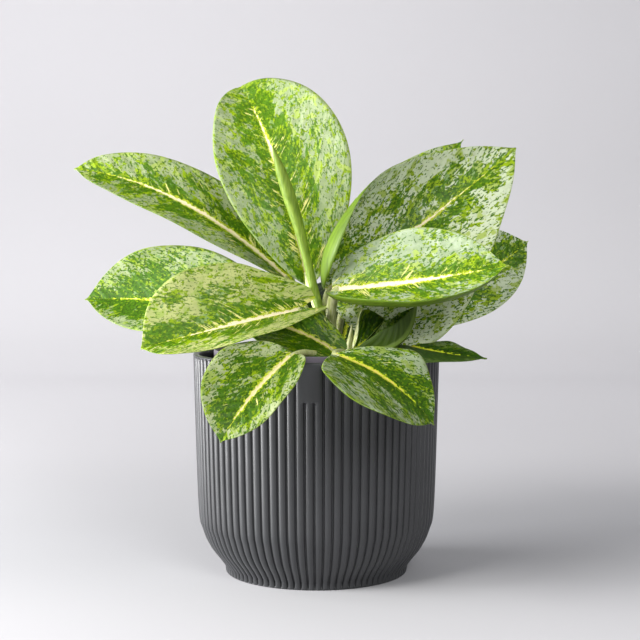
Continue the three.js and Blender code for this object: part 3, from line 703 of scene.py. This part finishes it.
def rib_ring_tree():
    """Geometry nodes: one rib copied round the pot, the front plate set in, all welded together."""
    tree, identifiers, given = new_node_group("rib_ring", {
        "Rib": "Object", "Plate": "Object", "Rib Count": "Int", "Plate Ribs": "Int",
        "Front Turn": "Float", "Weld": "Float", "Plastic": "Material",
    })
    count, plate_ribs = given["Rib Count"], given["Plate Ribs"]
    ribs = add(tree, "ShaderNodeMath", {0: count, 1: plate_ribs}, operation="SUBTRACT")
    points = add(tree, "GeometryNodePoints", {"Count": ribs})
    pitch = add(tree, "ShaderNodeMath", {0: 2 * math.pi, 1: count}, operation="DIVIDE")
    first = add(tree, "ShaderNodeMath", {0: plate_ribs, 1: 0.5, 2: 0.5}, operation="MULTIPLY_ADD")
    place = add(tree, "ShaderNodeMath", {0: add(tree, "GeometryNodeInputIndex"), 1: first})
    angle = add(tree, "ShaderNodeMath", {0: place, 1: pitch}, operation="MULTIPLY")
    rib, plate = (
        add(tree, "GeometryNodeObjectInfo", {"Object": given[key]}).outputs["Geometry"]
        for key in ("Rib", "Plate"))
    copies = add(tree, "GeometryNodeInstanceOnPoints", {
        "Points": points, "Instance": rib, "Rotation": add(tree, "ShaderNodeCombineXYZ", {"Z": angle}),
    })
    both = add(tree, "GeometryNodeJoinGeometry", {0: [copies, plate]})
    front = add(tree, "ShaderNodeCombineXYZ", {"Z": given["Front Turn"]})
    facing = add(tree, "GeometryNodeTransform", {"Geometry": both, "Rotation": front})
    real = add(tree, "GeometryNodeRealizeInstances", {0: facing})
    welded = add(tree, "GeometryNodeMergeByDistance", {"Geometry": real, "Distance": given["Weld"]})
    skinned = add(tree, "GeometryNodeSetMaterial", {"Geometry": welded, "Material": given["Plastic"]})
    add(tree, "NodeGroupOutput", {"Geometry": skinned})
    return tree, identifiers


def grown_by_nodes(name, carrier, tree, identifiers, values):
    """The plain piece that a geometry node tree makes on a carrier object."""
    modifier = carrier.modifiers.new("nodes", "NODES")
    modifier.node_group = tree
    for label, value in values.items():
        modifier[identifiers[label]] = value
    mesh = plain_mesh(carrier)
    mesh.name = name
    return placed(name, mesh)


def joined(name, pieces):
    """One mesh object out of several, which are removed."""
    with bpy.context.temp_override(active_object=pieces[0], selected_editable_objects=pieces):
        bpy.ops.object.join()
    pieces[0].name = name
    return pieces[0]


def outer_pot():
    full = POT_HEIGHT - RIM_BAND
    short = POT_HEIGHT - PLATE_HEIGHT
    rib = wall_sector("rib_sector", (full, full))
    pitch = 2 * math.pi / RIB_COUNT
    plates = []
    for number, tops in enumerate([(full, short), (short, short), (short, full)]):
        sector = wall_sector(f"plate_sector_{number}", tops)
        sector.data.transform(Matrix.Rotation((number - 1) * pitch, 4, "Z"))
        plates.append(sector)
    plate = joined("plate_sector", plates)
    carrier = new_piece("pot_carrier", [], [], POT_PLASTIC)
    pot = grown_by_nodes("outer_pot_ribbed", carrier, *rib_ring_tree(), {
        "Rib": rib, "Plate": plate, "Rib Count": RIB_COUNT, "Plate Ribs": PLATE_RIBS,
        "Front Turn": math.radians(FRONT_TURN), "Weld": 0.01 * MM, "Plastic": POT_PLASTIC,
    })
    for helper in (rib, plate, carrier):
        bpy.data.objects.remove(helper)
    return pot


# ---------------- grow pot and soil


def grow_pot():
    neck = GROW_TOP - GROW_RIM_DROP
    profile = [
        (0, GROW_FLOOR),
        (GROW_BASE_RADIUS, GROW_FLOOR),
        (GROW_NECK_RADIUS, neck),
        (GROW_RIM_RADIUS, neck),
        (GROW_RIM_RADIUS, GROW_TOP),
        (GROW_RIM_RADIUS - GROW_WALL, GROW_TOP),
        (GROW_NECK_RADIUS - GROW_WALL, neck + 1.5),
        (GROW_BASE_RADIUS - GROW_WALL, GROW_FLOOR + GROW_WALL),
        (0, GROW_FLOOR + GROW_WALL),
    ]
    pot = turned("grow_pot_turned", rounded(profile, 0.5), 144, GROW_PLASTIC)
    drains = []
    for hole in range(DRAIN_HOLES):
        angle = 2 * math.pi * hole / DRAIN_HOLES
        flat = Vector((DRAIN_RING * math.cos(angle), DRAIN_RING * math.sin(angle), 0))
        centre = (flat + Vector((0, 0, GROW_FLOOR + 0.5 * GROW_WALL))) * MM
        radius = DRAIN_RADIUS * MM
        bpy.ops.mesh.primitive_cylinder_add(vertices=32, radius=radius, depth=6 * MM, location=centre)
        drains.append(bpy.context.object)
    drain = joined("drains", drains)
    cut = pot.modifiers.new("drains", "BOOLEAN")
    cut.operation = "DIFFERENCE"
    cut.object = drain
    pot.data = plain_mesh(pot)
    bpy.data.objects.remove(drain)
    return pot


def soil_bump(x, y):
    coarse = math.sin(x * 0.31 + 1.3 * math.sin(y * 0.17)) * math.cos(y * 0.27 - 0.4)
    fine = math.sin(x * 0.9 + y * 0.7) * math.sin(y * 1.1 - x * 0.4)
    return 0.8 * coarse + 0.4 * fine


def soil_ball():
    low = GROW_FLOOR + GROW_WALL + SOIL_GAP
    share = (SOIL_TOP - GROW_FLOOR) / (GROW_TOP - GROW_RIM_DROP - GROW_FLOOR)
    low_radius = GROW_BASE_RADIUS - GROW_WALL - SOIL_GAP
    top_radius = low_radius + share * (GROW_NECK_RADIUS - GROW_BASE_RADIUS)
    rings = [(top_radius * k / 36, SOIL_TOP) for k in range(36, -1, -1)]
    ball = turned("soil_ball", [(0, low), (low_radius, low), *rings], 96, SOIL)
    for vertex in ball.data.vertices:
        x, y, z = vertex.co / MM
        if z > SOIL_TOP - 0.5:
            edge = step_between(top_radius, top_radius - 4, math.hypot(x, y))
            vertex.co.z += edge * soil_bump(x, y) * MM
    return ball, top_radius


def crumb_tree():
    """Geometry nodes: crumbs of bark and peat strewn over the soil's top."""
    tree, identifiers, given = new_node_group("soil_crumbs", {
        "Geometry": "Geometry", "Crumb": "Object", "Density": "Float", "Smallest": "Float",
        "Largest": "Float", "Level": "Float", "Edge": "Float", "Seed": "Int", "Earth": "Material",
    })
    ball, seed = given["Geometry"], given["Seed"]
    x, y, z = add(tree, "ShaderNodeSeparateXYZ", {0: add(tree, "GeometryNodeInputPosition")}).outputs
    flat = add(tree, "ShaderNodeCombineXYZ", {"X": x, "Y": y})
    reach = add(tree, "ShaderNodeVectorMath", {0: flat}, operation="LENGTH")
    inside = add(tree, "FunctionNodeCompare", {0: reach, 1: given["Edge"]}, operation="LESS_THAN")
    above = add(tree, "FunctionNodeCompare", {0: z, 1: given["Level"]}, operation="GREATER_THAN")
    top = add(tree, "FunctionNodeBooleanMath", {0: inside, 1: above}, operation="AND")
    points = add(tree, "GeometryNodeDistributePointsOnFaces", {
        "Mesh": ball, "Selection": top, "Density": given["Density"], "Seed": seed,
    })
    crumb = add(tree, "GeometryNodeObjectInfo", {"Object": given["Crumb"]}).outputs["Geometry"]
    links = {0: (0, 0, 0), 1: (6.28, 6.28, 6.28), "Seed": seed}
    turn = add(tree, "FunctionNodeRandomValue", links, data_type="FLOAT_VECTOR")
    size = add(tree, "FunctionNodeRandomValue", {2: given["Smallest"], 3: given["Largest"], "Seed": seed})
    copies = add(tree, "GeometryNodeInstanceOnPoints", {
        "Points": points, "Instance": crumb, "Rotation": turn, "Scale": size,
    })
    both = add(tree, "GeometryNodeJoinGeometry", {0: [copies, ball]})
    real = add(tree, "GeometryNodeRealizeInstances", {0: both})
    skinned = add(tree, "GeometryNodeSetMaterial", {"Geometry": real, "Material": given["Earth"]})
    add(tree, "NodeGroupOutput", {"Geometry": skinned})
    return tree, identifiers


def soil():
    ball, radius = soil_ball()
    bpy.ops.mesh.primitive_ico_sphere_add(subdivisions=2, radius=1 * MM)
    crumb = bpy.context.object
    for vertex in crumb.data.vertices:
        x, y, z = vertex.co / MM
        vertex.co *= 1 + 0.25 * math.sin(5 * x + 3 * z) * math.cos(4 * y - 2 * z)
        vertex.co.z *= 0.62
    area = math.pi * (radius * MM) ** 2
    strewn = grown_by_nodes("soil_crumbly", ball, *crumb_tree(), {
        "Crumb": crumb, "Density": SOIL_CRUMBS / area,
        "Smallest": CRUMB_RADII[0], "Largest": CRUMB_RADII[1],
        "Level": (SOIL_TOP - 2) * MM, "Edge": (radius - 2.5) * MM, "Seed": 11, "Earth": SOIL,
    })
    for helper in (ball, crumb):
        bpy.data.objects.remove(helper)
    return strewn


# ---------------- stems, spear and sheaths


def stem_piece(name, stem):
    steps, sides = 70, 40
    line = smooth_line([stem["foot"], stem["top"]], steps)
    low, high = stem["radius"]
    height = stem["top"][2] - stem["foot"][2]

    def scars(share):
        """Rings where older leaves came off, one every 5 mm above the soil."""
        above = np.clip((share * height + stem["foot"][2] - SOIL_TOP + 2) / 3, 0, 1)
        return -0.35 * above * np.exp(-((share * height) % 5 - 2.5) ** 2 / 0.5)

    points = rod_points(line, (low, low, low, high, high, high * 0.6), sides, ridge=scars)
    return new_piece(f"{name}_ringed", points, ring_faces(steps + 1, sides), STALK_SKIN)


def rod_piece(name, entry, steps, sides, material):
    line = smooth_line(entry["points"], steps)
    points = rod_points(line, entry["radii"], sides, roll=entry.get("roll", 0))
    return new_piece(name, points, ring_faces(steps + 1, sides), material)


# ---------------- leaves


def outline(leaf, t):
    """Share of the full half width at t, the way along the blade."""
    power = math.log(0.5) / math.log(leaf["wide"])
    roundness = leaf["full"] + (leaf["sharp"] - leaf["full"]) * t ** 3 + leaf["point"] * t ** 28
    return np.maximum(np.sin(np.pi * np.minimum(t, 1) ** power), 0) ** roundness


def midrib(leaf, t):
    """Place, direction, face and left side of the midrib at t."""
    base, middle, tip = (np.array(leaf[key], float) for key in ("base", "middle", "tip"))
    control = 2 * middle - (base + tip) / 2
    t = np.asarray(t, float)[..., None]
    place = (1 - t) ** 2 * base + 2 * t * (1 - t) * control + t ** 2 * tip
    along = unit((1 - t) * (control - base) + t * (tip - control))
    start = unit(np.array(leaf["face"], float))
    end = unit(np.array(leaf["faceTip"] or leaf["face"], float))
    face = (1 - t) * start + t * end
    face = unit(face - (face * along).sum(-1, keepdims=True) * along)
    return place, along, face, np.cross(face, along)


def blade_point(leaf, t, u):
    """The blade's middle surface, and how far across it a point lies; u is 1 at the left margin."""
    place, along, face, left = midrib(leaf, t)
    right = (u < 0).astype(int)
    share = outline(leaf, t)
    reach = np.array(leaf["half"], float)[right] * share
    start = np.radians(np.array(leaf["fold"], float)[right])
    cup = np.array(leaf["cup"], float)[right] * (1 - t)
    turn = np.radians(np.array(leaf["curl"], float)[right] + cup)
    out = np.abs(u)
    across = reach * (np.sin(start + turn * out) - np.sin(start)) / turn
    rise = reach * (np.cos(start) - np.cos(start + turn * out)) / turn
    length = math.dist(leaf["base"], leaf["tip"])
    back = 0.2 * leaf["lobe"] * length * np.maximum(1 - t / 0.3, 0) ** 2 * out ** 1.5
    phase = 2 * np.pi * (leaf["waves"] * t + 0.4 * right)
    wave = leaf["wave"] * np.sin(phase) * out ** 2 * np.sqrt(share)
    point = place + left * (np.sign(u) * across)[..., None]
    point += face * (rise + wave)[..., None] - along * back[..., None]
    return point, reach * out


def blade_sheet(leaf, seed):
    """Points of the upper and the lower face in rings, with the pattern's coordinates."""
    # rows crowd towards both ends, and columns towards the midrib
    rows = (1 - np.cos(np.linspace(0, np.pi, BLADE_ROWS))) / 2
    rows = BLADE_ENDS[0] + rows * (BLADE_ENDS[1] - BLADE_ENDS[0])
    spread = np.linspace(-1, 1, 2 * BLADE_COLUMNS + 1)
    columns = -np.sign(spread) * np.abs(spread) ** 1.45
    t, u = np.meshgrid(rows, columns, indexing="ij")
    middle, rib_mm = blade_point(leaf, t, u)
    slope_t = blade_point(leaf, t + 0.002, u)[0] - blade_point(leaf, t - 0.002, u)[0]
    leftward, rightward = np.minimum(u + 0.01, 1), np.maximum(u - 0.01, -1)
    slope_u = blade_point(leaf, t, leftward)[0] - blade_point(leaf, t, rightward)[0]
    normal = unit(np.cross(slope_t, slope_u))
    # the bent midrib is a little longer than the straight line from base to tip
    travelled = t * math.dist(leaf["base"], leaf["tip"]) * 1.05
    widest = np.where(u >= 0, leaf["half"][0], leaf["half"][1])
    vein = travelled - 0.9 * rib_mm - 0.5 * rib_mm ** 2 / widest
    # side veins start in turn on the left and on the right
    phase = vein / VEIN_SPACING + 0.5 * (u < 0)
    edge = np.abs(u)
    fade = np.clip(edge * 5, 0, 1) * np.clip((1 - edge) * 5, 0, 1)
    swell = VEIN_SWELL * fade * (np.cos(2 * np.pi * phase) + 0.35 * np.cos(6 * np.pi * phase + 1))
    rib_radius = leaf["stalk"] * 0.9 * (1 - np.sqrt(t)) + 0.4 * np.sqrt(t)
    keel = 1.3 * rib_radius * np.exp(-(rib_mm / (0.9 * rib_radius)) ** 2)
    channel = 0.3 * rib_radius * np.exp(-(rib_mm / (0.8 * rib_radius)) ** 2)
    half = BLADE_THICKNESS / 2 * (1 - 0.55 * edge ** 8)
    upper = middle + normal * (half + swell - channel)[..., None]
    lower = (middle + normal * (swell - half - keel)[..., None])[:, ::-1]
    rings = np.concatenate([upper, lower], axis=1)
    # each leaf takes a patch of its own from the pattern
    coordinates = {
        "blade": np.stack([t, edge], axis=-1),
        "surface": np.stack([travelled + 300 * seed, np.sign(u) * rib_mm + 29.7 * seed], axis=-1),
        "veins": np.stack([vein + 400 * seed, np.sign(u) * rib_mm + 37.3 * seed], axis=-1),
        "rib_mm": rib_mm,
    }
    for key, values in coordinates.items():
        coordinates[key] = np.concatenate([values, values[:, ::-1]], axis=1)
    return rings, coordinates


def stem_axis(stem, z):
    foot, top = np.array(stem["foot"], float), np.array(stem["top"], float)
    return foot + (top - foot) * (z - foot[2]) / (top[2] - foot[2])


def stalk_line(leaf):
    """The stalk's curve: it leaves the stem upwards and outwards and runs on into the midrib."""
    stem = STEMS[leaf["stem"]]
    root = stem_axis(stem, leaf["root"])
    base = np.array(leaf["base"], float)
    _, along, face, _ = midrib(leaf, 0.0)
    outward = (base - root) * (1, 1, 0)
    outward = outward / np.linalg.norm(outward)
    reach = np.linalg.norm(base - root)
    start = root + outward * (stem["radius"][1] - 2.5)
    rise = start + outward * 0.35 * (1 - 0.6 * leaf["lift"]) * reach
    rise[2] += 0.35 * leaf["lift"] * reach
    end = midrib(leaf, 0.05)[0] - face * 0.6 * leaf["stalk"]
    approach = end - along * 0.2 * reach
    s = np.linspace(0, 1, STALK_STEPS + 1)[:, None]
    from_stem = (1 - s) ** 3 * start + 3 * (1 - s) ** 2 * s * rise
    return from_stem + 3 * (1 - s) * s ** 2 * approach + s ** 3 * end


def leaf_piece(name, leaf, seed):
    rings, coordinates = blade_sheet(leaf, seed)
    rows, count = rings.shape[:2]
    points = rings.reshape(-1, 3)
    faces = ring_faces(rows, count)
    blade_faces = len(faces)
    radii = [leaf["stalk"] * k for k in (1.15, 1, 1, 0.85)]
    stalk = rod_points(stalk_line(leaf), radii, STALK_SIDES)
    faces += ring_faces(STALK_STEPS + 1, STALK_SIDES, start=len(points))
    total = len(points) + len(stalk)
    piece = new_piece(name, np.concatenate([points, stalk]), faces, LEAF_UPPER)
    mesh = piece.data
    mesh.materials.append(LEAF_UNDER)
    mesh.materials.append(STALK_SKIN)
    # materials by face: 0 above, 1 below and round the margin, 2 on the stalk
    index = np.full(len(faces), 2)
    squares = (rows - 1) * count
    k = np.arange(squares) % count
    index[:squares] = np.where(k < count // 2 - 1, 0, 1)
    index[squares:blade_faces] = 1
    mesh.polygons.foreach_set("material_index", index)
    corners = np.empty(len(mesh.loops), int)
    mesh.loops.foreach_get("vertex_index", corners)
    for key in ("blade", "surface", "veins"):
        flat = np.zeros((total, 2))
        flat[:len(points)] = coordinates[key].reshape(-1, 2)
        mesh.uv_layers.new(name=key).data.foreach_set("uv", flat[corners].ravel())
    values = {key: leaf[key] for key in ("green", "pale", "warm", "age", "streak")}
    values["rib_mm"] = coordinates["rib_mm"].ravel()
    for key, value in values.items():
        flat = np.zeros(total)
        flat[:len(points)] = value
        mesh.attributes.new(key, "FLOAT", "POINT").data.foreach_set("value", flat)
    return piece


# ---------------- the object


def stand_for(piece, node):
    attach(piece, BODY)
    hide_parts(node)


stand_for(outer_pot(), "outer_pot")
stand_for(grow_pot(), "grow_pot")
stand_for(soil(), "soil")
for name, stem in STEMS.items():
    stand_for(stem_piece(name, stem), name)
stand_for(rod_piece("leaf_spear_rolled", SPEAR, 90, 40, YOUNG_SKIN), "leaf_spear")
for name, sheath in SHEATHS.items():
    stand_for(rod_piece(f"{name}_smooth", sheath, 30, 24, STALK_SKIN), name)
for number, (name, own) in enumerate(LEAVES.items()):
    leaf = {**LEAF_DEFAULTS, **own}
    stand_for(leaf_piece(f"{name}_blade", leaf, number + 1), name)

# ---------------- stage, light and camera


# camera: place in metres, and how far it looks down
CAMERA_PLACE = (0.0021, -0.802, 0.189)
CAMERA_DIP = 3.23
CAMERA_LENS = 79.03
SENSOR_WIDTH = 36

# soft boxes: place, what each looks at, sides in metres, power in watts and colour
LIGHTS = {
    "window_left": ((-1.6, -1.35, 1.5), (0, 0, 0.15), (1.15, 1.15), 51, (1.0, 0.99, 0.97)),
    "edge_left": ((-0.95, -0.1, 0.15), (0, 0, 0.1), (0.5, 0.24), 21, (1.0, 1.0, 1.0)),
    "wall_wash": ((-1.5, 0.4, 1.2), (-0.7, 1.6, 0.6), (0.8, 0.8), 10, (0.98, 0.97, 1.0)),
    "fill_front": ((0.5, -1.3, 0.8), (0, 0, 0.2), (0.7, 0.7), 11, (1.0, 1.0, 1.0)),
}


def backdrop():
    """Floor and wall in one sweep of paper."""
    corner, back, front, top, half = 0.5, 1.6, -2.2, 2.6, 3.0
    line = [(front, 0.0)]
    for k in range(17):
        angle = math.pi / 2 * k / 16
        line.append((back - corner + corner * math.sin(angle), corner - corner * math.cos(angle)))
    line.append((back, top))
    points = [(x, y, z) for y, z in line for x in (-half, half)]
    faces = [(2 * k, 2 * k + 1, 2 * k + 3, 2 * k + 2) for k in range(len(line) - 1)]
    return new_piece("paper_sweep", points, faces, PAPER, metres=1)


backdrop()
for name, (place, target, sides, power, colour) in LIGHTS.items():
    light = bpy.data.lights.new(name, "AREA")
    light.shape = "RECTANGLE"
    light.size, light.size_y = sides
    light.energy = power
    light.color = colour
    turn = (Vector(target) - Vector(place)).to_track_quat("-Z", "Y").to_euler()
    placed(name, light, location=place, rotation_euler=turn)

world = bpy.data.worlds.new("soft_room")
world.use_nodes = True
colour, strength = world.node_tree.nodes["Background"].inputs[:2]
colour.default_value = (0.92, 0.93, 0.96, 1)
strength.default_value = 0.26
bpy.context.scene.world = world
bpy.context.scene.view_settings.view_transform = "Standard"

lens = bpy.data.cameras.new("camera")
lens.lens = CAMERA_LENS
lens.sensor_width = SENSOR_WIDTH
turn = (math.radians(90 - CAMERA_DIP), 0, 0)
bpy.context.scene.camera = placed("camera", lens, location=CAMERA_PLACE, rotation_euler=turn)
